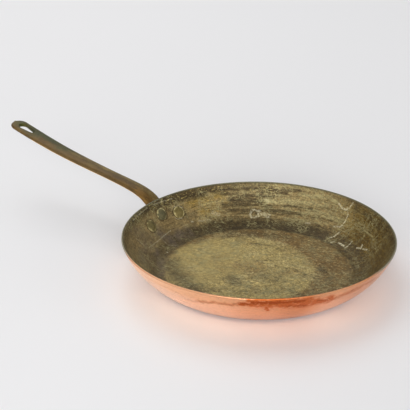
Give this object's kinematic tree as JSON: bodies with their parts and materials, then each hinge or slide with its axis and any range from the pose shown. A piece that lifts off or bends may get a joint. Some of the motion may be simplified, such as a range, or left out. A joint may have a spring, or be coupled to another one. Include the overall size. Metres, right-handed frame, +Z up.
{
  "type": "frying pan",
  "caption": "Shallow round copper frying pan with a sloped wall, a tin lining and a long waisted brass handle riveted on, with a hanging hole at its tip.",
  "frame": {"origin": "centre of the base's flat underside, on the pan's own axis", "axes": "+Z up out of the pan, the handle points along -X, +Y to the left of someone who holds the handle"},
  "size_m": [0.4967, 0.28, 0.0852],
  "materials": {
    "copper": "satin copper, rubbed and heat-stained",
    "tarnished_tin": "wiped tin, tarnished olive brown and scratched",
    "cast_brass": "cast brass, dull with green-brown patina",
    "rivet_copper": "tinned copper rivet, tarnished"
  },
  "bodies": {
    "root": {"pan_body": "copper", "tin_lining": "tarnished_tin", "handle": "cast_brass", "rivet_left": "rivet_copper", "rivet_centre": "rivet_copper", "rivet_right": "rivet_copper"}
  },
  "joints": []
}
